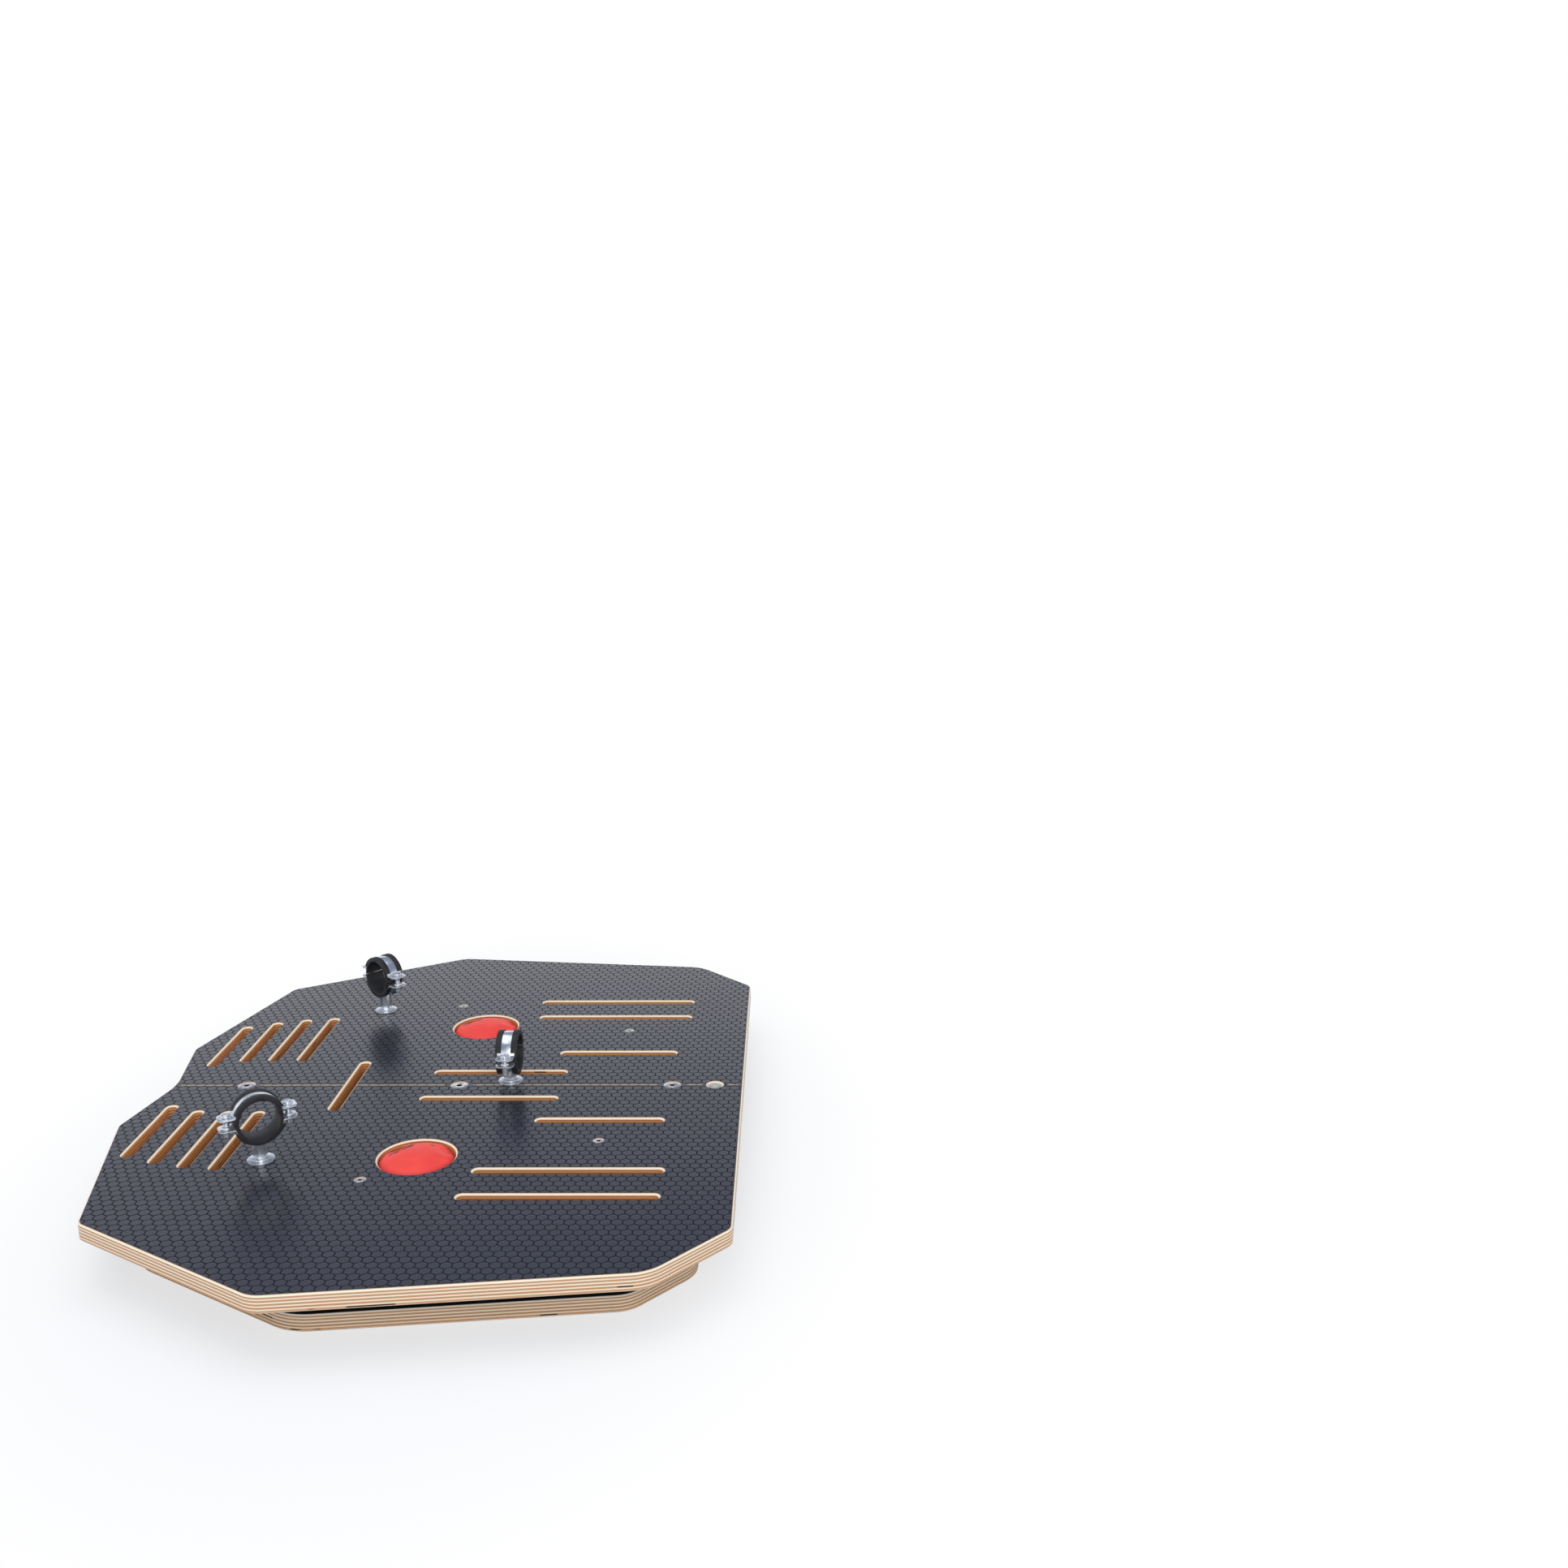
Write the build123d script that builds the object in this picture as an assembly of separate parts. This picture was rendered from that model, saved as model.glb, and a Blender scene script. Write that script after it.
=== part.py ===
from build123d import *
from math import cos, hypot, radians, sin, sqrt
import os

# Rocker plate for an indoor bicycle trainer, in millimetres.
# Origin: on the floor, under the middle of the deck. +X points to the bicycle's front,
# +Y to its left side (the far side when the plate is seen from the drive side), +Z up.

# Two boards of film-faced birch plywood with a gap between them
board_thickness = 18.0
film_thickness = 0.4
board_gap = 30.0

# Deck outline, symmetric about the X axis
deck_length = 680.0
deck_width = 898.0
widest_from_front = 417.0
front_edge_width = 664.0
front_shoulder_width = 820.0
front_shoulder_from_front = 72.0
rear_shoulder_width = 642.0
rear_shoulder_from_rear = 54.0
rear_edge_width = 216.0
rear_notch_depth = 20.0
front_corner_radius = 16.0
front_shoulder_radius = 45.0
widest_corner_radius = 30.0
rear_shoulder_radius = 16.0
rear_corner_radius = 16.0
rear_notch_radius = 90.0
deck_edge_chamfer = 1.6

# Base board, a smaller copy of the deck outline with rounder corners
base_front_inset = 36.0
base_side_inset = 46.0
base_rear_inset = 48.5
base_corner_radius = 35.0
base_widest_radius = 60.0
base_edge_chamfer = 1.0

# Slots that take the clamp bolts and straps of a trainer
slot_width = 10.0
slot_chamfer = 2.5
# distance from the centreline, the rim's start along X, its end's distance from the front edge
front_slots = ((269.0, 63.0, 73.0), (214.0, 68.0, 73.0), (95.0, 113.0, 83.0))
# distance from the centreline, the rim's start and end along X
inner_slot = (37.0, -28.0, 131.0)
cross_slot_first_from_rear = 40.0
cross_slot_pitch = 34.3
# rim's start and end away from the centreline, from the rearmost slot forwards
cross_slots = ((54.0, 184.0), (68.0, 198.0), (70.0, 208.0), (70.0, 213.0))
middle_slot_from_rear = 223.0
middle_slot_length = 140.0

# Engraved centreline, a right-angled V
groove_width = 1.5
groove_margin = 6.0

# Rubber buffers along the centreline: the deck tilts on them
pivot_from_front = 82.5
pivot_middle_x = 10.0
pivot_from_rear = 102.5
buffer_radius = 25.0
buffer_waist = 3.0
buffer_plate_thickness = 2.5
buffer_boss_radius = 8.0
buffer_boss_height = 7.5
bond_clearance = 0.3
rock_limit_deg = 4.0

# M10 countersunk screws, one above and one below each buffer
pivot_screw_radius = 5.0
pivot_screw_head_radius = 10.0
pivot_screw_hole_radius = 5.5
pivot_screw_length = 25.0
pivot_screw_socket = 6.0
countersink_recess = 0.3
countersink_clearance = 0.2
thread_clearance = 0.05
# shares of the screw's own size: how deep its socket is, how much its tip is chamfered
socket_share = 0.6
tip_share = 0.17

# Rubber stops under the deck, each on an M6 countersunk screw
stop_from_front = 150.0
stop_front_near_y = -145.0
stop_front_far_y = 168.0
stop_rear_x = -40.0
stop_rear_near_y = -233.0
stop_rear_far_y = 256.0
stop_radius = 12.5
stop_insert_radius = 6.0
stop_insert_height = 6.0
stop_screw_radius = 3.0
stop_screw_head_radius = 6.0
stop_screw_hole_radius = 3.3
stop_screw_length = 22.0
stop_screw_socket = 4.0
stop_running_gap = 0.5
stop_edge_radius = 2.5

# Inflated rubber balls that push the deck back to level
ball_x = 5.0
ball_y = 182.0
window_radius = 40.0
window_chamfer = 2.0
ball_clearance = 0.3
ball_crown_above_deck = 4.0
ball_upper_rim_drop = 3.5
ball_lower_rim_rise = 8.0
ball_bulge = 15.0
ball_floor_clearance = 1.5
ball_edge_radius = 6.0
valve_radius = 5.0
valve_length = 4.0
valve_chamfer = 0.5

# Round spirit level let into the deck
level_from_front = 33.0
level_radius = 9.0
level_recess = 1.5
level_height = 8.0
level_wall = 1.0
level_fit = 0.2
level_lens_thickness = 1.5
level_bubble_radius = 3.0
level_chamfer = 1.3

# Pipe clamps that hold the trainer's legs
leg_tube_radius = 21.0
centre_tube_radius = 20.0
liner_thickness = 3.0
liner_lip = 2.0
liner_overlap = 4.4
liner_fit = 0.15
liner_wrap_thickness = 1.0
liner_slit = 1.0
band_thickness = 1.5
band_width = 20.0
leg_ear_gap = 10.5
centre_ear_gap = 6.5
ear_corner_radius = 6.0
ear_bend_radius = 1.2
ear_screw_from_band = 5.6
ear_tip_from_screw = 8.5
ear_screw_radius = 3.0
ear_screw_head_radius = 5.0
ear_screw_head_height = 3.8
ear_screw_length = 22.0
ear_screw_recess_depth = 1.6
ear_screw_recess_width = 1.3
ear_hole_radius = 3.3
ear_collar_radius = 4.6
ear_collar_height = 2.0
boss_across_flats = 13.0
boss_thread_depth = 7.0
boss_drill_runout = 1.0
boss_chamfer = 0.9
weld_depth = 0.6
clamp_bolt_radius = 4.0
clamp_bolt_head_height = 5.3
clamp_hole_radius = 4.5
wide_washer_radius = 14.0
wide_washer_thickness = 2.0
small_washer_radius = 9.0
small_washer_thickness = 1.6
under_washer_radius = 12.0
under_washer_thickness = 1.6
swivel_gap = 0.05
leg_axis_height = 48.6
centre_axis_height = 36.5
near_leg_angle = 33.0
far_leg_angle = 42.0
near_clamp_from_rear = 185.0
near_clamp_y = -190.0
far_clamp_from_rear = 201.5
far_clamp_y = 240.0
centre_clamp_x = 68.0
centre_clamp_y = 10.5

# An edge or corner this near to a place counts as lying there
touching = 0.02

# Heights and positions that follow from the sizes above
base_top = board_thickness
deck_bottom = base_top + board_gap
deck_top = deck_bottom + board_thickness
rock_height = base_top + board_gap / 2
front_x = deck_length / 2
rear_x = -deck_length / 2
pivot_xs = (front_x - pivot_from_front, pivot_middle_x, rear_x + pivot_from_rear)
ball_places = ((ball_x, -ball_y), (ball_x, ball_y))
stop_front_x = front_x - stop_from_front
stop_places = (
    (stop_front_x, stop_front_far_y), (stop_front_x, stop_front_near_y),
    (stop_rear_x, stop_rear_far_y), (stop_rear_x, stop_rear_near_y),
)
level_x = front_x - level_from_front
level_top = deck_top - level_recess
washer_stack = wide_washer_thickness + small_washer_thickness + swivel_gap
clamp_places = {
    "near": (rear_x + near_clamp_from_rear, near_clamp_y),
    "far": (rear_x + far_clamp_from_rear, far_clamp_y),
    "centre": (centre_clamp_x, centre_clamp_y),
}
# height of the tube's axis above the deck, angle, radius of the tube, gap between the ears
clamp_sizes = {
    "near": (leg_axis_height, near_leg_angle, leg_tube_radius, leg_ear_gap),
    "far": (leg_axis_height, -far_leg_angle, leg_tube_radius, leg_ear_gap),
    "centre": (centre_axis_height, 90.0, centre_tube_radius, centre_ear_gap),
}


def mirrored(points):
    """Closed outline from its +Y half, listed from the front edge to the rear."""
    return [(x, y) for x, y in points] + [(x, -y) for x, y in reversed(points) if y > 0]


def inset(points, distances):
    """The same closed outline with each edge moved inwards by its own distance."""
    edges = list(zip(points, points[1:] + points[:1]))
    moved = []
    for ((ax, ay), (bx, by)), distance in zip(edges, distances):
        length = hypot(bx - ax, by - ay)
        nx, ny = (by - ay) / length, (ax - bx) / length
        moved.append((ax - nx * distance, ay - ny * distance, bx - ax, by - ay))
    corners = []
    for (px, py, pu, pv), (qx, qy, qu, qv) in zip(moved[-1:] + moved[:-1], moved):
        along = ((qx - px) * qv - (qy - py) * qu) / (pu * qv - pv * qu)
        corners.append((px + along * pu, py + along * pv))
    return corners


def board(points, radii, z):
    """A board of full thickness with rounded corners, standing on height z."""
    outline = FilletPolyline(*points, radius=radii, close=True)
    return extrude(Pos(0, 0, z) * make_face(outline), board_thickness)


def disc(radius, bottom, top, x=0.0, y=0.0):
    """An upright cylinder between two heights."""
    height = top - bottom
    return Pos(x, y, bottom) * Cylinder(radius, height, align=(Align.CENTER, Align.CENTER, Align.MIN))


def cone(bottom_radius, top_radius, bottom, top, x=0.0, y=0.0):
    """An upright cone between two heights."""
    solid = Cone(bottom_radius, top_radius, top - bottom, align=(Align.CENTER, Align.CENTER, Align.MIN))
    return Pos(x, y, bottom) * solid


def hexagon(across_flats, bottom, top):
    """An upright hexagonal prism between two heights."""
    outline = RegularPolygon(across_flats / 2, 6, major_radius=False)
    return extrude(Pos(0, 0, bottom) * outline, top - bottom)


def slot_cutter(length, angle):
    """Cuts a slot through the deck, with its chamfered rim; length is the rim's."""
    rim_width = slot_width + 2 * slot_chamfer
    straight = SlotOverall(length - 2 * slot_chamfer, slot_width, rotation=angle)
    rim = SlotOverall(length, rim_width, rotation=angle)
    through = extrude(Pos(0, 0, deck_bottom) * straight, board_thickness)
    return through + extrude(Pos(0, 0, deck_top) * rim, -slot_chamfer, taper=45)


def deck_slots():
    """Every slot cutter of the deck in its place."""
    cutters = [Pos(rear_x + middle_slot_from_rear, 0, 0) * slot_cutter(middle_slot_length, 90)]
    lengthwise = [(offset, start, front_x - gap) for offset, start, gap in front_slots]
    for offset, start, end in lengthwise + [inner_slot]:
        for side in (1, -1):
            cutters.append(Pos((start + end) / 2, side * offset, 0) * slot_cutter(end - start, 0))
    for index, (start, end) in enumerate(cross_slots):
        x = rear_x + cross_slot_first_from_rear + index * cross_slot_pitch
        for side in (1, -1):
            cutters.append(Pos(x, side * (start + end) / 2, 0) * slot_cutter(end - start, 90))
    return cutters


def countersunk_hole(hole_radius, head_radius, x, y, bottom, top, head_up):
    """Through hole with a countersink that a flush screw head lies in."""
    wide = head_radius + countersink_clearance
    depth = wide - hole_radius + countersink_recess
    through = disc(hole_radius, bottom, top, x, y)
    if head_up:
        seat = cone(hole_radius, wide, top - depth, top - countersink_recess, x, y)
        return through + seat + disc(wide, top - countersink_recess, top, x, y)
    seat = cone(wide, hole_radius, bottom + countersink_recess, bottom + depth, x, y)
    return through + seat + disc(wide, bottom, bottom + countersink_recess, x, y)


def countersunk_screw(radius, head_radius, length, socket, x, y, face, head_up):
    """Countersunk screw with a hexagon socket, its head just under the board's face."""
    head_height = head_radius - radius
    head = cone(radius, head_radius, -head_height, 0)
    shank = disc(radius, -length, -head_height)
    shank = chamfer(shank.edges().sort_by(Axis.Z)[:1], tip_share * radius)
    screw = head + shank - hexagon(socket, -socket_share * head_height, 0)
    if head_up:
        return Pos(x, y, face - countersink_recess) * screw
    return Pos(x, y, face + countersink_recess) * Rot(180, 0, 0) * screw


def groove_cutters():
    """Centreline groove, stopped short of each screw, the level and the edges."""
    stops = sorted(
        [(x, pivot_screw_head_radius + groove_margin) for x in pivot_xs]
        + [(level_x, level_radius + groove_margin)]
    )
    start = rear_x + rear_notch_depth + groove_margin
    side = groove_width / sqrt(2)
    pieces = []
    for x, reach in stops + [(front_x, groove_margin)]:
        end = x - reach
        if end > start:
            bar = Rot(45, 0, 0) * Box(end - start, side, side)
            pieces.append(Pos((start + end) / 2, 0, deck_top) * bar)
        start = x + reach
    return pieces


def deck_outline():
    """Corner points of the deck, all the way round, and the radius of each."""
    half = [
        (front_x, front_edge_width / 2),
        (front_x - front_shoulder_from_front, front_shoulder_width / 2),
        (front_x - widest_from_front, deck_width / 2),
        (rear_x + rear_shoulder_from_rear, rear_shoulder_width / 2),
        (rear_x, rear_edge_width / 2),
        (rear_x + rear_notch_depth, 0.0),
    ]
    radii = [
        front_corner_radius, front_shoulder_radius, widest_corner_radius,
        rear_shoulder_radius, rear_corner_radius, rear_notch_radius,
    ]
    return mirrored(half), radii + radii[-2::-1]


def rim_edges(solid, z):
    """Edges of the outer outline at height z."""
    faces = solid.faces().filter_by(Axis.Z).filter_by_position(Axis.Z, z - touching, z + touching)
    return faces.sort_by(SortBy.AREA)[-1].outer_wire().edges()


def split_film(solid, top):
    """Plywood core and the film that faces it, cut apart."""
    size = 2 * max(deck_length, deck_width)
    film_space = Pos(0, 0, top - film_thickness / 2) * Box(size, size, film_thickness)
    return solid - film_space, solid & film_space


def window_cutters(bottom, top):
    """Round windows for the balls through one board, each with a chamfered rim on top."""
    chamfer_bottom = top - window_chamfer
    cutters = [disc(window_radius, bottom, top, x, y) for x, y in ball_places]
    for x, y in ball_places:
        cutters.append(cone(window_radius, window_radius + window_chamfer, chamfer_bottom, top, x, y))
    return cutters


def make_deck():
    """Deck board with every slot and hole, and its film."""
    points, radii = deck_outline()
    deck = board(points, radii, deck_bottom)
    for z in (deck_top, deck_bottom):
        deck = chamfer(rim_edges(deck, z), deck_edge_chamfer)
    cutters = deck_slots() + groove_cutters() + window_cutters(deck_bottom, deck_top)
    for x in pivot_xs:
        sizes = (pivot_screw_hole_radius, pivot_screw_head_radius)
        cutters.append(countersunk_hole(*sizes, x, 0, deck_bottom, deck_top, True))
    for x, y in stop_places:
        sizes = (stop_screw_hole_radius, stop_screw_head_radius)
        cutters.append(countersunk_hole(*sizes, x, y, deck_bottom, deck_top, True))
    for x, y in clamp_places.values():
        cutters.append(disc(clamp_hole_radius, deck_bottom, deck_top, x, y))
    pocket = level_radius + level_fit
    cutters.append(disc(pocket, level_top - level_height - level_fit, deck_top, level_x))
    cutters.append(cone(pocket, pocket + level_chamfer, deck_top - level_chamfer, deck_top, level_x))
    return split_film(deck - cutters, deck_top)


def make_base():
    """Base board with its windows and screw holes, and its film."""
    points, _ = deck_outline()
    half = [base_side_inset] * 2 + [base_rear_inset] * 3
    corners = inset(points, half + half[::-1] + [base_front_inset])
    widest = max(y for _, y in corners)
    radii = [base_widest_radius if abs(y) > widest - touching else base_corner_radius for _, y in corners]
    base = board(corners, radii, 0)
    for z in (base_top, 0):
        base = chamfer(rim_edges(base, z), base_edge_chamfer)
    cutters = window_cutters(0, base_top)
    for x in pivot_xs:
        sizes = (pivot_screw_hole_radius, pivot_screw_head_radius)
        cutters.append(countersunk_hole(*sizes, x, 0, 0, base_top, False))
    return split_film(base - cutters, base_top)


def buffer_plate(x, upper):
    """Steel end plate of a buffer with its tapped boss, bonded to the rubber."""
    height = buffer_plate_thickness + buffer_boss_height
    solid = disc(buffer_radius, 0, buffer_plate_thickness) + disc(buffer_boss_radius, 0, height)
    solid = solid - disc(pivot_screw_radius + thread_clearance, 0, height)
    if upper:
        return Pos(x, 0, deck_bottom) * Rot(180, 0, 0) * solid
    return Pos(x, 0, base_top) * solid


def buffer_rubber(x):
    """Waisted rubber body between the end plates, with a pocket round each boss."""
    low = base_top + buffer_plate_thickness
    high = deck_bottom - buffer_plate_thickness
    waist = ThreePointArc(
        (buffer_radius, low), (buffer_radius - buffer_waist, (low + high) / 2), (buffer_radius, high)
    )
    rest = Polyline((buffer_radius, high), (0, high), (0, low), (buffer_radius, low))
    body = revolve(Plane.XZ * make_face([waist, rest]), Axis.Z)
    pocket = buffer_boss_radius + bond_clearance
    depth = buffer_boss_height + bond_clearance
    body = body - disc(pocket, low, low + depth) - disc(pocket, high - depth, high)
    return Pos(x, 0, 0) * body


def pivot_screws(upper):
    """The row of M10 screws that hold one board to the buffers."""
    sizes = (pivot_screw_radius, pivot_screw_head_radius, pivot_screw_length, pivot_screw_socket)
    face = deck_top if upper else 0.0
    return [countersunk_screw(*sizes, x, 0, face, upper) for x in pivot_xs]


def stop_height():
    """Height of a rubber stop that lies just clear of the base at full tilt."""
    tilt = radians(rock_limit_deg)
    half_gap = board_gap / 2
    reach = max(abs(y) for _, y in stop_places) + stop_radius
    tip = (reach * sin(tilt) - half_gap + stop_running_gap) / cos(tilt)
    return half_gap - tip


def make_stops():
    """Rubber stops, their tapped steel inserts and their screws."""
    rubber = disc(stop_radius, deck_bottom - stop_height(), deck_bottom)
    rubber = fillet(rubber.edges().sort_by(Axis.Z)[:1], stop_edge_radius)
    insert_bottom = deck_bottom - stop_insert_height
    rubber = rubber - disc(stop_insert_radius + bond_clearance, insert_bottom, deck_bottom)
    insert = disc(stop_insert_radius, insert_bottom, deck_bottom)
    insert = insert - disc(stop_screw_radius + thread_clearance, insert_bottom, deck_bottom)
    places = [Pos(x, y, 0) for x, y in stop_places]
    sizes = (stop_screw_radius, stop_screw_head_radius, stop_screw_length, stop_screw_socket)
    screws = [countersunk_screw(*sizes, x, y, deck_top, True) for x, y in stop_places]
    return [place * rubber for place in places], [place * insert for place in places], screws


def dome_arc(radius, edge_z, crown_z):
    """Arc of a shallow dome from its crown on the axis to its edge."""
    rise = crown_z - edge_z
    sphere = (radius ** 2 + rise ** 2) / (2 * rise)
    half = radius / 2
    middle_z = crown_z - sphere + (1 if sphere > 0 else -1) * sqrt(sphere ** 2 - half ** 2)
    return ThreePointArc((0, crown_z), (half, middle_z), (radius, edge_z))


def make_ball(x, y):
    """Ball squeezed between the boards: a dome in each window and a bulge in the gap."""
    radius = window_radius - ball_clearance
    crown = deck_top + ball_crown_above_deck
    upper_edge = deck_top - ball_upper_rim_drop
    lower_edge = ball_lower_rim_rise
    high = deck_bottom - 2 * ball_clearance
    low = base_top + 2 * ball_clearance
    outline = [
        dome_arc(radius, upper_edge, crown),
        Line((radius, upper_edge), (radius, high)),
        ThreePointArc((radius, high), (radius + ball_bulge, rock_height), (radius, low)),
        Line((radius, low), (radius, lower_edge)),
        dome_arc(radius, lower_edge, ball_floor_clearance),
        Line((0, ball_floor_clearance), (0, crown)),
    ]
    profile = make_face(outline)
    shoulders = [
        v for v in profile.vertices()
        if min(hypot(v.X - radius, v.Y - z) for z in (upper_edge, lower_edge)) < touching
    ]
    profile = fillet(shoulders, ball_edge_radius)
    ball = revolve(Plane.XZ * profile, Axis.Z)
    socket_top = ball_floor_clearance + valve_length + bond_clearance
    ball = ball - disc(valve_radius + bond_clearance, 0, socket_top)
    return Pos(x, y, 0) * ball


def make_valves():
    """Rubber plug that closes each ball, at the bottom of its window in the base."""
    bottom = ball_floor_clearance
    plug = disc(valve_radius, bottom, bottom + valve_length)
    plug = chamfer(plug.edges().sort_by(Axis.Z)[:1], valve_chamfer)
    return [Pos(x, y, 0) * plug for x, y in ball_places]


def make_level():
    """Round spirit level: cup, liquid with its bubble, and clear lens."""
    floor = level_top - level_height
    lens_bottom = level_top - level_lens_thickness
    bore = level_radius - level_wall
    cup = disc(level_radius, floor, level_top) - disc(bore, floor + level_wall, level_top)
    fluid = disc(bore - level_fit, floor + level_wall, lens_bottom)
    fluid = fluid - Pos(0, 0, lens_bottom) * Sphere(level_bubble_radius)
    lens = disc(bore - level_fit, lens_bottom, level_top)
    return [Pos(level_x, 0, 0) * piece for piece in (cup, fluid, lens)]


def tube_cylinder(radius, width):
    """Cylinder along the held tube's axis, which is the local Y axis."""
    return Rot(90, 0, 0) * Cylinder(radius, width)


def band_radii(tube):
    """Inner and outer radius of the steel band round a tube and its liner."""
    inner = tube + liner_thickness
    return inner, inner + band_thickness


def clamp_half(tube, gap, hole_radius):
    """Upper half of the steel band with its two ears and the holes through them."""
    inner, outer = band_radii(tube)
    screw_x = outer + ear_screw_from_band
    reach = screw_x + ear_tip_from_screw
    space = 4 * reach
    ring = tube_cylinder(outer, band_width) - tube_cylinder(inner, band_width)
    half = ring & Pos(0, 0, gap / 2 + space / 2) * Box(space, space, space)
    plate = RectangleRounded(2 * reach, band_width, ear_corner_radius)
    ears = extrude(Pos(0, 0, gap / 2) * plate, band_thickness)
    half = half + (ears - tube_cylinder(inner, band_width))
    bend_z = gap / 2 + band_thickness
    bend_x = sqrt(outer ** 2 - bend_z ** 2)
    bends = [
        e for e in half.edges().filter_by(Axis.Y)
        if hypot(abs(e.center().X) - bend_x, e.center().Z - bend_z) < touching
    ]
    half = fillet(bends, ear_bend_radius)
    for side in (1, -1):
        half = half - disc(hole_radius, 0, bend_z, side * screw_x)
    return half


def tapped_half(tube, gap):
    """Lower half of the band: each ear hole is drawn to a collar and tapped."""
    hole_radius = ear_screw_radius + thread_clearance
    half = mirror(clamp_half(tube, gap, hole_radius), Plane.XY)
    top = ear_collar_height - gap / 2
    collar = disc(ear_collar_radius, -gap / 2, top) - disc(hole_radius, -gap / 2, top)
    for side in (1, -1):
        half = half + Pos(side * (band_radii(tube)[1] + ear_screw_from_band), 0, 0) * collar
    return half


def clamp_boss(tube, axis_height):
    """Hexagon boss welded under the lower half, tapped for the bolt from below."""
    bottom = washer_stack - axis_height
    top = weld_depth - band_radii(tube)[1]
    turned = disc(boss_across_flats / sqrt(3), bottom, top)
    turned = chamfer(turned.edges().sort_by(Axis.Z)[:1], boss_chamfer)
    boss = hexagon(boss_across_flats, bottom, top) & turned
    bore_top = bottom + boss_thread_depth + boss_drill_runout
    return boss - disc(clamp_bolt_radius + thread_clearance, bottom, bore_top)


def liner_half(tube, gap):
    """Upper half of the rubber liner: a channel that wraps the band's edges."""
    inner, outer = band_radii(tube)
    low, high = inner - liner_fit, outer + liner_fit
    rim = high + liner_wrap_thickness
    edge = band_width / 2 + liner_fit
    side = edge + liner_lip
    lip = band_width / 2 - liner_overlap
    half_section = [(high, lip), (rim, lip), (rim, side), (tube, side)]
    mirrored_section = [(r, -along) for r, along in reversed(half_section)]
    channel = [(high, -edge), (low, -edge), (low, edge), (high, edge)]
    section = make_face(Polyline(*half_section, *mirrored_section, *channel, close=True))
    liner = revolve(section, Axis.Y)
    space = 4 * rim
    ear_space = gap + 2 * band_thickness + 2 * ear_bend_radius + 2 * liner_lip
    outside = Box(space, space, ear_space) - tube_cylinder(low, space)
    return (liner - outside) & Pos(0, 0, (liner_slit + space) / 2) * Box(space, space, space)


def ear_screw(gap):
    """Pan head screw with a cross recess, through both ears."""
    head_bottom = gap / 2 + band_thickness
    head = disc(ear_screw_head_radius, head_bottom, head_bottom + ear_screw_head_height)
    head = fillet(head.edges().sort_by(Axis.Z)[-1:], ear_screw_head_height / 2)
    shank = disc(ear_screw_radius, head_bottom - ear_screw_length, head_bottom)
    shank = chamfer(shank.edges().sort_by(Axis.Z)[:1], tip_share * ear_screw_radius)
    arm = Box(ear_screw_head_radius, ear_screw_recess_width, ear_screw_recess_depth)
    top = Pos(0, 0, head_bottom + ear_screw_head_height - ear_screw_recess_depth / 2)
    return head + shank - top * arm - top * Rot(0, 0, 90) * arm


def make_clamp(x, y, axis_height, angle, tube, gap):
    """All the turning pieces of one clamp, in place on the deck."""
    place = Pos(x, y, deck_top + axis_height) * Rot(0, 0, angle)
    upper = clamp_half(tube, gap, ear_hole_radius)
    lower = tapped_half(tube, gap) + clamp_boss(tube, axis_height)
    liner = liner_half(tube, gap)
    inner, outer = band_radii(tube)
    boss_room = disc(boss_across_flats / sqrt(3) + bond_clearance, -2 * outer, -inner)
    screw_x = outer + ear_screw_from_band
    screws = [Pos(side * screw_x, 0, 0) * ear_screw(gap) for side in (1, -1)]
    return {
        "upper_half": [place * upper],
        "lower_half": [place * lower],
        "liner_upper": [place * liner],
        "liner_lower": [place * (mirror(liner, Plane.XY) - boss_room)],
        "ear_screws": [place * screw for screw in screws],
    }


def washer(radius, hole, bottom, thickness):
    """Flat washer on the height of its bottom face."""
    return disc(radius, bottom, bottom + thickness) - disc(hole, bottom, bottom + thickness)


def clamp_bolt():
    """Hexagon bolt from below the deck up into the clamp's boss."""
    seat = deck_bottom - under_washer_thickness
    head = hexagon(boss_across_flats, seat - clamp_bolt_head_height, seat)
    shank = disc(clamp_bolt_radius, seat, deck_top + washer_stack + boss_thread_depth)
    return head + chamfer(shank.edges().sort_by(Axis.Z)[-1:], tip_share * clamp_bolt_radius)


def clamp_fixings():
    """Washers and bolts that hold the three clamps to the deck."""
    wide = washer(wide_washer_radius, clamp_hole_radius, deck_top, wide_washer_thickness)
    small_bottom = deck_top + wide_washer_thickness
    small = washer(small_washer_radius, clamp_hole_radius, small_bottom, small_washer_thickness)
    under_bottom = deck_bottom - under_washer_thickness
    under = washer(under_washer_radius, clamp_hole_radius, under_bottom, under_washer_thickness)
    bolt = clamp_bolt()
    places = [Pos(x, y, 0) for x, y in clamp_places.values()]
    return {
        "clamp_wide_washers": [place * wide for place in places],
        "clamp_small_washers": [place * small for place in places],
        "clamp_under_washers": [place * under for place in places],
        "clamp_bolts": [place * bolt for place in places],
    }


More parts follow.
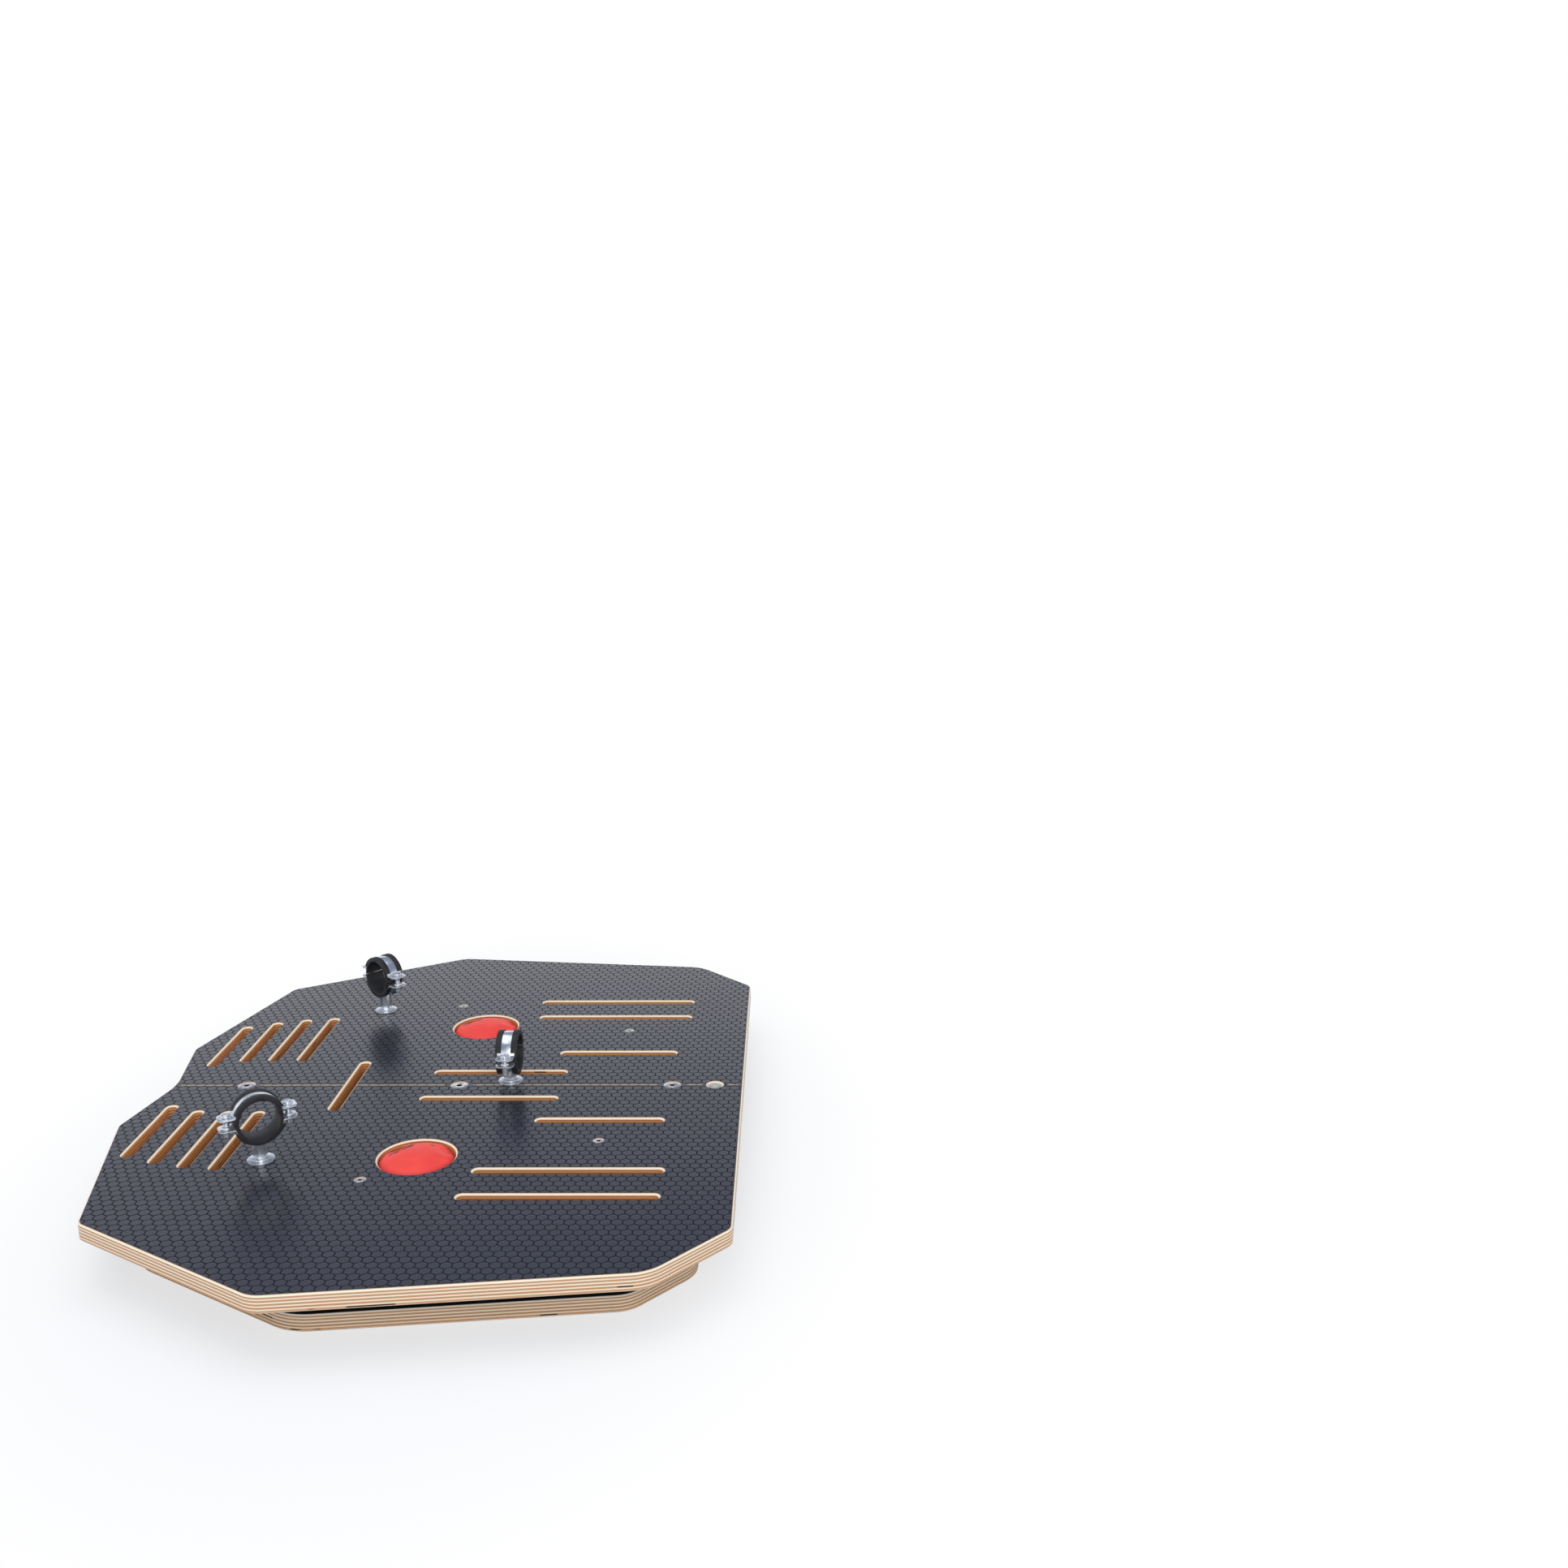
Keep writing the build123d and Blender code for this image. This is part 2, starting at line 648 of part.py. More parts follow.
def make_all():
    """Every node of the rocker plate: its name and its separate solids."""
    nodes = dict(zip(("deck_board", "deck_film"), make_deck()))
    nodes.update(zip(("base_board", "base_film"), make_base()))
    nodes.update(zip(("level_cup", "level_fluid", "level_lens"), make_level()))
    nodes = {name: [piece] for name, piece in nodes.items()}
    nodes["buffer_upper_plates"] = [buffer_plate(x, True) for x in pivot_xs]
    nodes["buffer_lower_plates"] = [buffer_plate(x, False) for x in pivot_xs]
    for name, x in zip(("front", "middle", "rear"), pivot_xs):
        nodes["buffer_rubber_" + name] = [buffer_rubber(x)]
    nodes["deck_pivot_screws"] = pivot_screws(True)
    nodes["base_pivot_screws"] = pivot_screws(False)
    nodes["stop_rubbers"], nodes["stop_inserts"], nodes["stop_screws"] = make_stops()
    for name, (x, y) in zip(("near", "far"), ball_places):
        nodes["ball_" + name] = [make_ball(x, y)]
    nodes["ball_valves"] = make_valves()
    for name, place in clamp_places.items():
        for part, solids in make_clamp(*place, *clamp_sizes[name]).items():
            nodes["clamp_" + name + "_" + part] = solids
    nodes.update(clamp_fixings())
    return nodes


os.makedirs("parts", exist_ok=True)
for node, solids in make_all().items():
    export_step(Compound(children=[Part() + solid for solid in solids]), "parts/" + node + ".step")
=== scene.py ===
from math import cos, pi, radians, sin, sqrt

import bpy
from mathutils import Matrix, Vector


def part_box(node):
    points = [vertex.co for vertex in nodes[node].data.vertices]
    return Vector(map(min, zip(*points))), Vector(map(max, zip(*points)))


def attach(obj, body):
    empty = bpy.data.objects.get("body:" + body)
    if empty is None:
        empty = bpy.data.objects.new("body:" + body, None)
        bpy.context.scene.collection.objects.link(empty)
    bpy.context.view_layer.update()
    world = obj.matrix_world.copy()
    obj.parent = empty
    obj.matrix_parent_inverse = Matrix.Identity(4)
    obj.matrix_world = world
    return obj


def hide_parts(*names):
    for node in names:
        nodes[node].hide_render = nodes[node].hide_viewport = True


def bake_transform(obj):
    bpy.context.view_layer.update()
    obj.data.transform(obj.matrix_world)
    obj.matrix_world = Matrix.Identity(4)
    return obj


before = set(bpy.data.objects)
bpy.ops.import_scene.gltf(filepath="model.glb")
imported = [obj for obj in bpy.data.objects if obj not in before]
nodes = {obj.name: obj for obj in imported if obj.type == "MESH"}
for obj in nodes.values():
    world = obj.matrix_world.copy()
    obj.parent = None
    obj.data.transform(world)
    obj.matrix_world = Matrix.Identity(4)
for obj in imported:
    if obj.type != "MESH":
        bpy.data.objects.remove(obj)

# %% [markdown]
# # A rocker plate for a bicycle trainer
# Two boards of film-faced plywood, three rubber buffers and two inflated balls between them,
# and three pipe clamps on top. The imported CAD model is loaded first and gives every size and
# place. This script then gives each piece its finished form and its finish.
# The CAD box is kept here.

MM = 0.001
bpy.ops.object.select_all(action="DESELECT")
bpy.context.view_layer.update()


def middle(node):
    """Centre of a CAD node's box, and the height of its lowest point."""
    low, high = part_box(node)
    return Vector(((low.x + high.x) / 2, (low.y + high.y) / 2, low.z))


# %% [markdown]
# ## Where the camera stands
# The photograph was taken from the plate's right side, a little above it. The place and the
# lens were worked out from the corners of the deck and the ends of its slots.

# %% Camera
camera_data = bpy.data.cameras.new("camera")
camera_data.sensor_width = 36.0
camera_data.lens = 34.36
camera = bpy.data.objects.new("camera", camera_data)
camera.location = (0.39692, -1.62248, 0.77790)
camera.rotation_euler = (radians(77.663), radians(0.186), radians(0.261))
bpy.context.scene.collection.objects.link(camera)
bpy.context.scene.camera = camera
print("camera lens:", camera_data.lens)

# %% [markdown]
# ## Building node trees by hand
# A material could be clicked together in the shader editor. In a script the same thing is
# shorter with three small helpers: one adds a node and feeds its sockets, one does arithmetic,
# and one blends two colours. Each returns an output socket that the next node can use.

# %% Helpers for node trees
def feed(tree, socket, value):
    """Sets a socket to a number or colour, or links another node's output to it."""
    if isinstance(value, bpy.types.NodeSocket):
        tree.links.new(value, socket)
    else:
        socket.default_value = value


def put(tree, kind, options=None, output=0, **sockets):
    """Adds a node, sets its options and sockets, and returns one of its outputs."""
    node = tree.nodes.new(kind)
    for name, value in (options or {}).items():
        setattr(node, name, value)
    for name, value in sockets.items():
        feed(tree, node.inputs[name.replace("_", " ")], value)
    return node.outputs[output]


def calc(tree, operation, *values):
    """One step of arithmetic on numbers."""
    node = tree.nodes.new("ShaderNodeMath")
    node.operation = operation
    for socket, value in zip(node.inputs, values):
        feed(tree, socket, value)
    return node.outputs[0]


def steer(tree, operation, *values, output=0):
    """One step of arithmetic on vectors."""
    node = tree.nodes.new("ShaderNodeVectorMath")
    node.operation = operation
    for socket, value in zip(node.inputs, values):
        feed(tree, socket, value)
    return node.outputs[output]


def tint(tree, factor, first, second, blend="MIX"):
    """Blends two colours."""
    node = tree.nodes.new("ShaderNodeMix")
    node.data_type = "RGBA"
    node.blend_type = blend
    for index, value in ((0, factor), (6, first), (7, second)):
        feed(tree, node.inputs[index], value)
    return node.outputs[2]


def between(tree, value, low, high, start=0.0, end=1.0):
    """Maps a value smoothly from one range to another."""
    return put(
        tree, "ShaderNodeMapRange", {"interpolation_type": "SMOOTHSTEP"},
        Value=value, From_Min=low, From_Max=high, To_Min=start, To_Max=end,
    )


def group(name, inputs, outputs):
    """A new shader node group; returns its tree, its inputs by name and its output node."""
    tree = bpy.data.node_groups.new(name, "ShaderNodeTree")
    for label, kind, default in inputs:
        socket = tree.interface.new_socket(name=label, in_out="INPUT", socket_type="NodeSocket" + kind)
        if default is not None:
            socket.default_value = default
    for label, kind in outputs:
        tree.interface.new_socket(name=label, in_out="OUTPUT", socket_type="NodeSocket" + kind)
    entry = tree.nodes.new("NodeGroupInput")
    return tree, {label: entry.outputs[label] for label, _, _ in inputs}, tree.nodes.new("NodeGroupOutput")


def use(tree, name, **sockets):
    """Places a node group in a tree and returns its outputs by name."""
    node = tree.nodes.new("ShaderNodeGroup")
    node.node_tree = bpy.data.node_groups[name]
    for label, value in sockets.items():
        feed(tree, node.inputs[label.replace("_", " ")], value)
    return node.outputs


def finish(name, **constants):
    """A new material with one Principled shader; returns it, its tree, shader and position."""
    material = bpy.data.materials.new(name)
    material.use_nodes = True
    tree = material.node_tree
    shader = next(n for n in tree.nodes if n.type == "BSDF_PRINCIPLED")
    for label, value in constants.items():
        shader.inputs[label.replace("_", " ")].default_value = value
    place = put(tree, "ShaderNodeTexCoord", output=3)
    return material, tree, shader, place


def wear(material, *names):
    """Gives CAD nodes their finish."""
    for name in names:
        mesh = nodes[name].data
        mesh.materials.clear()
        mesh.materials.append(material)


print("node helpers ready")

# %% [markdown]
# ## Patches and grain
# No real surface has one even tone. This group is soft cloudy variation from 0 to 1, which
# most finishes use at their own size: for the base film's rolling marks it is stretched.

# %% Patches
tree, given, out = group(
    "uneven_tone",
    [("Position", "Vector", None), ("Scale", "Float", 50.0), ("Detail", "Float", 3.0), ("Contrast", "Float", 1.0)],
    [("Value", "Float")],
)
noise = put(
    tree, "ShaderNodeTexNoise", Vector=given["Position"], Scale=given["Scale"], Detail=given["Detail"]
)
spread = calc(tree, "MULTIPLY", calc(tree, "SUBTRACT", noise, 0.5), given["Contrast"])
feed(tree, out.inputs["Value"], calc(tree, "ADD", spread, 0.5))
print("group:", tree.name)

# %% [markdown]
# ## Plywood seen from its edge
# Birch plywood of 18 mm like this has eleven plies. Their grain runs crosswise in turn, so at the
# edge a pale ply lies between two browner ones, with a thin dark glue line at each joint.
# A picture of plywood would have to be wrapped round every slot. Here the colour follows the
# height in the board alone, so each slot, window and edge shows the same plies by itself.

# %% Plies
tree, given, out = group(
    "plies",
    [("Position", "Vector", None), ("Bottom", "Float", 0.0), ("Inside", "Float", 0.0)],
    [("Color", "Color"), ("Roughness", "Float"), ("Height", "Float")],
)
split = tree.nodes.new("ShaderNodeSeparateXYZ")
feed(tree, split.inputs[0], given["Position"])
sway = put(tree, "ShaderNodeTexNoise", Vector=given["Position"], Scale=9.0, Detail=1.0)
depth = calc(tree, "SUBTRACT", split.outputs[2], given["Bottom"])
depth = calc(tree, "ADD", depth, calc(tree, "MULTIPLY", calc(tree, "SUBTRACT", sway, 0.5), 0.4 * MM))
count = calc(tree, "DIVIDE", depth, 18 * MM / 11)
index = calc(tree, "FLOOR", count)
inside = calc(tree, "FRACT", count)
crosswise = calc(tree, "PINGPONG", index, 1.0)
from_joint = calc(tree, "PINGPONG", inside, 0.5)
glue = between(tree, from_joint, 0.03, 0.16, 1.0, 0.0)
stretched = steer(tree, "MULTIPLY", given["Position"], (90.0, 90.0, 2600.0))
streak = put(tree, "ShaderNodeTexNoise", Vector=stretched, Scale=1.0, Detail=4.0)
tone = put(
    tree, "ShaderNodeTexWhiteNoise", {"noise_dimensions": "1D"}, W=calc(tree, "ADD", index, 0.37)
)
pale = tint(tree, streak, (0.96, 0.76, 0.52, 1), (1.0, 0.95, 0.80, 1))
brown = tint(tree, streak, (0.40, 0.19, 0.080, 1), (0.68, 0.38, 0.19, 1))
wood = tint(tree, crosswise, pale, brown)
wood = tint(tree, calc(tree, "MULTIPLY", tone, 0.3), wood, (0.88, 0.50, 0.25, 1))
wood = tint(tree, calc(tree, "MULTIPLY", glue, 0.35), wood, (0.22, 0.10, 0.05, 1))
# The top ply is paler birch veneer. Its near-white cream, seen most on the chamfers, is partly a painted highlight.
face_ply_and_highlight = between(tree, depth, 15.9 * MM, 16.5 * MM)
wood = tint(tree, calc(tree, "MULTIPLY", face_ply_and_highlight, 0.9), wood, tint(tree, streak, (0.98, 0.82, 0.62, 1), (1.0, 0.94, 0.80, 1)))
gap_place = steer(tree, "MULTIPLY", given["Position"], (26.0, 26.0, 0.0))
gap_place = steer(tree, "ADD", gap_place, put(tree, "ShaderNodeCombineXYZ", X=0.0, Y=0.0, Z=calc(tree, "MULTIPLY", index, 3.7)))
gap_noise = put(tree, "ShaderNodeTexNoise", Vector=gap_place, Scale=1.0, Detail=0.0)
gap = calc(tree, "MULTIPLY", between(tree, gap_noise, 0.765, 0.785), crosswise)
gap = calc(tree, "MULTIPLY", gap, between(tree, from_joint, 0.1, 0.2))
wood = tint(tree, gap, wood, (0.012, 0.006, 0.004, 1))
under = calc(tree, "LESS_THAN", calc(tree, "SUBTRACT", split.outputs[2], given["Bottom"]), 0.3 * MM)
wood = tint(tree, under, wood, (0.022, 0.018, 0.016, 1))
# Painted shade: inside the outline and below the face ply, the walls of slots and windows are darkened and tinted
# orange. This is partly routing burn and partly painted shade.
painted_wall_shade = calc(tree, "MULTIPLY", given["Inside"], between(tree, depth, 15.2 * MM, 16.4 * MM, 1.0, 0.0))
wood = tint(tree, painted_wall_shade, wood, tint(tree, 1.0, wood, (0.84, 0.56, 0.33, 1), blend="MULTIPLY"))
feed(tree, out.inputs["Color"], wood)
feed(tree, out.inputs["Roughness"], between(tree, streak, 0.2, 0.8, 0.42, 0.58))
relief = calc(tree, "SUBTRACT", calc(tree, "MULTIPLY", streak, 0.06 * MM), calc(tree, "MULTIPLY", gap, 0.5 * MM))
feed(tree, out.inputs["Height"], calc(tree, "SUBTRACT", relief, calc(tree, "MULTIPLY", glue, 0.05 * MM)))
print("group:", tree.name)

# %% Inside the outline
tree, given, out = group("inside_outline", [("Position", "Vector", None), ("Inset", "Float", 8 * MM)], [("Mask", "Float")])
folded = steer(tree, "MULTIPLY", given["Position"], (1.0, 1.0, 0.0))
split = tree.nodes.new("ShaderNodeSeparateXYZ")
feed(tree, split.inputs[0], folded)
folded = put(tree, "ShaderNodeCombineXYZ", X=split.outputs[0], Y=calc(tree, "ABSOLUTE", split.outputs[1]), Z=0.0)
past = -1.0
for across, along, reach in (
    (1.0, 0.0, 340.0), (0.7348, 0.6783, 475.0), (0.1123, 0.9937, 437.5),
    (-0.5223, 0.8528, 423.1), (-0.9694, 0.2457, 356.1), (-0.9833, -0.182, 314.7),
):
    beyond = calc(tree, "SUBTRACT", steer(tree, "DOT_PRODUCT", folded, (across, along, 0.0), output=1), reach * MM)
    past = calc(tree, "MAXIMUM", past, beyond)
feed(tree, out.inputs["Mask"], calc(tree, "LESS_THAN", past, calc(tree, "MULTIPLY", given["Inset"], -1.0)))
print("group:", tree.name)

# %% Plywood of the two boards
for label, node, bottom, inset in (("deck_plywood", "deck_board", 48.0, 8.0), ("base_plywood", "base_board", 0.0, 60.0)):
    material, tree, shader, place = finish(label, Specular_IOR_Level=0.35, Coat_Weight=0.15, Coat_Roughness=0.3)
    inside = use(tree, "inside_outline", Position=place, Inset=inset * MM)["Mask"]
    plies = use(tree, "plies", Position=place, Bottom=bottom * MM, Inside=inside)
    bump = put(tree, "ShaderNodeBump", Strength=0.7, Distance=1.0, Height=plies["Height"])
    for socket, value in (("Base Color", plies["Color"]), ("Roughness", plies["Roughness"]), ("Normal", bump)):
        feed(tree, shader.inputs[socket], value)
    wear(material, node)
    print("plywood on", node)

# %% [markdown]
# ## Hexagons pressed into the deck's film
# The dark film that faces the deck has a mesh of hexagons pressed into it, 11 mm apart, so
# that feet don't slip. Modelling four thousand pads would make the mesh huge for a relief of
# a tenth of a millimetre. Two interleaved grids of points give each place its nearest pad
# centre, and the distance from it, measured square to the pad's sides, gives the groove.

# %% Hexagons
tree, given, out = group(
    "hexagon_pads",
    [("Position", "Vector", None), ("Pitch", "Float", 11.2 * MM), ("Groove", "Float", 0.09)],
    [("Groove", "Float"), ("Slope", "Float"), ("Pad", "Vector")],
)
grid = steer(tree, "DIVIDE", steer(tree, "MULTIPLY", given["Position"], (1, 1, 0)),
             put(tree, "ShaderNodeCombineXYZ", X=given["Pitch"], Y=given["Pitch"], Z=1.0))
half_cell = (0.5, sqrt(3) / 2, 0.5)
low_cell = (-0.5, -sqrt(3) / 2, -0.5)
first = steer(tree, "WRAP", grid, half_cell, low_cell)
second = steer(tree, "WRAP", steer(tree, "SUBTRACT", grid, (0.5, sqrt(3) / 2, 0)), half_cell, low_cell)
nearer = calc(tree, "LESS_THAN", steer(tree, "LENGTH", second, output=1), steer(tree, "LENGTH", first, output=1))
blend = tree.nodes.new("ShaderNodeMix")
blend.data_type = "VECTOR"
for number, value in ((0, nearer), (4, first), (5, second)):
    feed(tree, blend.inputs[number], value)
reach = steer(tree, "ABSOLUTE", blend.outputs[1])
parts = tree.nodes.new("ShaderNodeSeparateXYZ")
feed(tree, parts.inputs[0], reach)
slanted = calc(tree, "ADD", calc(tree, "MULTIPLY", parts.outputs[0], 0.5), calc(tree, "MULTIPLY", parts.outputs[1], sqrt(3) / 2))
distance = calc(tree, "MAXIMUM", parts.outputs[0], slanted)
edge = calc(tree, "SUBTRACT", 0.5, given["Groove"])
feed(tree, out.inputs["Groove"], between(tree, distance, edge, 0.475))
feed(tree, out.inputs["Slope"], between(tree, distance, calc(tree, "SUBTRACT", edge, 0.05), 0.475))
feed(tree, out.inputs["Pad"], steer(tree, "SUBTRACT", grid, blend.outputs[1]))
print("group:", tree.name)

# %% Film of the deck
material, tree, shader, place = finish("hexagon_film", IOR=1.4, Specular_IOR_Level=0.3, Coat_Roughness=0.24, Coat_IOR=1.6)
pads = use(tree, "hexagon_pads", Position=place)
cloud = use(tree, "uneven_tone", Position=place, Scale=7.0, Detail=2.0, Contrast=1.4)["Value"]
fine = use(tree, "uneven_tone", Position=place, Scale=700.0, Detail=3.0, Contrast=1.4)["Value"]
pad_tone = put(tree, "ShaderNodeTexWhiteNoise", Vector=steer(tree, "ADD", pads["Pad"], (0.31, 0.17, 0.5)))
color = tint(tree, cloud, (0.004, 0.005, 0.016, 1), (0.010, 0.012, 0.028, 1))
color = tint(tree, calc(tree, "MULTIPLY", pad_tone, 0.4), color, (0.020, 0.022, 0.038, 1))
color = tint(tree, calc(tree, "MULTIPLY", fine, 0.35), color, (0.026, 0.028, 0.040, 1))
# Painted shade: the grooves between the pads are darkened in the colour.
color = tint(tree, calc(tree, "MULTIPLY", pads["Groove"], 0.9), color, (0.002, 0.002, 0.005, 1))
split = tree.nodes.new("ShaderNodeSeparateXYZ")
feed(tree, split.inputs[0], place)
cut_edge = calc(tree, "LESS_THAN", split.outputs[2], (66.0 - 0.03) * MM)
color = tint(tree, cut_edge, color, (0.62, 0.42, 0.22, 1))
feed(tree, shader.inputs["Base Color"], color)
rough = calc(tree, "ADD", between(tree, fine, 0.3, 0.7, 0.32, 0.44), calc(tree, "MULTIPLY", pads["Groove"], 0.4))
feed(tree, shader.inputs["Roughness"], rough)
feed(tree, shader.inputs["Coat Weight"], calc(tree, "SUBTRACT", 1.0, pads["Groove"]))
height = calc(tree, "SUBTRACT", calc(tree, "MULTIPLY", fine, 0.02 * MM), calc(tree, "MULTIPLY", pads["Slope"], 0.16 * MM))
feed(tree, shader.inputs["Normal"], put(tree, "ShaderNodeBump", Strength=1.0, Distance=1.0, Height=height))
wear(material, "deck_film")
print("film:", material.name)

# %% [markdown]
# ## The base's smooth film
# The base board is faced with the plain side of the same film. It is hardly seen in the gap,
# and shows faint rolling marks and dust.

# %% Film of the base
material, tree, shader, place = finish("smooth_film", IOR=1.45)
marks = use(tree, "uneven_tone", Position=steer(tree, "MULTIPLY", place, (1.0, 14.0, 1.0)), Scale=40.0, Contrast=1.5)["Value"]
feed(tree, shader.inputs["Base Color"], tint(tree, marks, (0.010, 0.009, 0.009, 1), (0.026, 0.023, 0.022, 1)))
feed(tree, shader.inputs["Roughness"], between(tree, marks, 0.2, 0.8, 0.45, 0.62))
wear(material, "base_film")
print("film:", material.name)

# %% [markdown]
# ## Bright zinc
# The clamps, bolts and washers are zinc plated: a cool, bright metal with faint cloudy
# crystals and tiny pits. Metal shows mostly what it reflects, so small changes in roughness
# and a low relief make it look plated instead of chromed.

# %% Metal finishes
tree, given, out = group(
    "plated_metal",
    [("Position", "Vector", None), ("Crystal", "Float", 400.0), ("Bright", "Color", (0.8, 0.82, 0.85, 1)), ("Dull", "Color", (0.5, 0.54, 0.6, 1))],
    [("Color", "Color"), ("Roughness", "Float"), ("Height", "Float")],
)
crystal = put(tree, "ShaderNodeTexVoronoi", Vector=given["Position"], Scale=given["Crystal"])
cloud = use(tree, "uneven_tone", Position=given["Position"], Scale=120.0, Detail=4.0, Contrast=1.6)["Value"]
feed(tree, out.inputs["Color"], tint(tree, cloud, given["Dull"], given["Bright"]))
feed(tree, out.inputs["Roughness"], calc(tree, "ADD", between(tree, cloud, 0.2, 0.8, 0.30, 0.16), calc(tree, "MULTIPLY", crystal, 0.05)))
feed(tree, out.inputs["Height"], calc(tree, "MULTIPLY", cloud, 0.06 * MM))


def metal(name, bright, dull, crystal):
    """A plated metal finish."""
    material, tree, shader, place = finish(name, Metallic=0.82)
    plate = use(tree, "plated_metal", Position=place, Crystal=crystal, Bright=bright, Dull=dull)
    feed(tree, shader.inputs["Base Color"], plate["Color"])
    feed(tree, shader.inputs["Roughness"], plate["Roughness"])
    feed(tree, shader.inputs["Normal"], put(tree, "ShaderNodeBump", Strength=0.5, Distance=1.0, Height=plate["Height"]))
    return material


def shaded_sockets(material, low, high):
    """Darkens a screw finish between two heights, where only the sockets can be seen: painted shade in the socket
    recesses.
    """
    tree = material.node_tree
    shader = next(n for n in tree.nodes if n.type == "BSDF_PRINCIPLED")
    plain = shader.inputs["Base Color"].links[0].from_socket
    split = tree.nodes.new("ShaderNodeSeparateXYZ")
    feed(tree, split.inputs[0], put(tree, "ShaderNodeTexCoord", output=3))
    inside = calc(tree, "MULTIPLY", between(tree, split.outputs[2], low - 0.1 * MM, low + 0.1 * MM),
                  between(tree, split.outputs[2], high - 0.1 * MM, high + 0.1 * MM, 1.0, 0.0))
    # Painted shade in the sockets.
    feed(tree, shader.inputs["Base Color"], tint(tree, inside, plain, (0.025, 0.022, 0.020, 1)))
    return material


zinc = metal("bright_zinc", (0.90, 0.93, 0.96, 1), (0.62, 0.66, 0.72, 1), 500.0)
screw_steel = metal("screw_steel", (0.92, 0.89, 0.86, 1), (0.70, 0.67, 0.64, 1), 900.0)
deck_screw_steel = shaded_sockets(metal("deck_screw_steel", (0.95, 0.92, 0.89, 1), (0.74, 0.71, 0.68, 1), 900.0), 40 * MM, 65.3 * MM)
base_screw_steel = shaded_sockets(metal("base_screw_steel", (0.95, 0.92, 0.89, 1), (0.74, 0.71, 0.68, 1), 900.0), 0.7 * MM, 26 * MM)
print("metals:", zinc.name, screw_steel.name, deck_screw_steel.name, base_screw_steel.name)

# %% [markdown]
# ## Rubber
# Three rubbers are used: black for the buffers, stops and clamp liners, red for the balls,
# and off-white for their plugs. All have a fine moulded skin. The red balls are stretched
# thin over air, so they are smooth and a little shiny. Their creases where they fold against
# the window, and the red towards the window's rim, are darkened with painted shade, and a
# pink highlight is painted on the crown.

# %% Rubber finishes
tree, given, out = group(
    "rubber_skin",
    [("Position", "Vector", None), ("Grain", "Float", 1500.0), ("Deep", "Color", (0.01, 0.01, 0.01, 1)), ("Rubbed", "Color", (0.05, 0.05, 0.05, 1))],
    [("Color", "Color"), ("Roughness", "Float"), ("Height", "Float")],
)
skin = use(tree, "uneven_tone", Position=given["Position"], Scale=given["Grain"], Detail=2.0, Contrast=1.5)["Value"]
rubbed = use(tree, "uneven_tone", Position=given["Position"], Scale=60.0, Detail=5.0, Contrast=2.0)["Value"]
feed(tree, out.inputs["Color"], tint(tree, rubbed, given["Deep"], given["Rubbed"]))
feed(tree, out.inputs["Roughness"], between(tree, rubbed, 0.1, 0.9, 0.5, 0.68))
feed(tree, out.inputs["Height"], calc(tree, "MULTIPLY", skin, 0.04 * MM))


def rubber(name, deep, rubbed, **constants):
    """A moulded rubber finish; returns it with its tree, shader, position and colour."""
    material, tree, shader, place = finish(name, **constants)
    skin = use(tree, "rubber_skin", Position=place, Deep=deep, Rubbed=rubbed)
    feed(tree, shader.inputs["Base Color"], skin["Color"])
    feed(tree, shader.inputs["Roughness"], skin["Roughness"])
    feed(tree, shader.inputs["Normal"], put(tree, "ShaderNodeBump", Strength=0.6, Distance=1.0, Height=skin["Height"]))
    return material, tree, shader, place, skin["Color"]


black_rubber = rubber("black_rubber", (0.010, 0.010, 0.012, 1), (0.026, 0.026, 0.030, 1))[0]
plug_rubber = rubber("plug_rubber", (0.55, 0.54, 0.50, 1), (0.70, 0.69, 0.64, 1))[0]


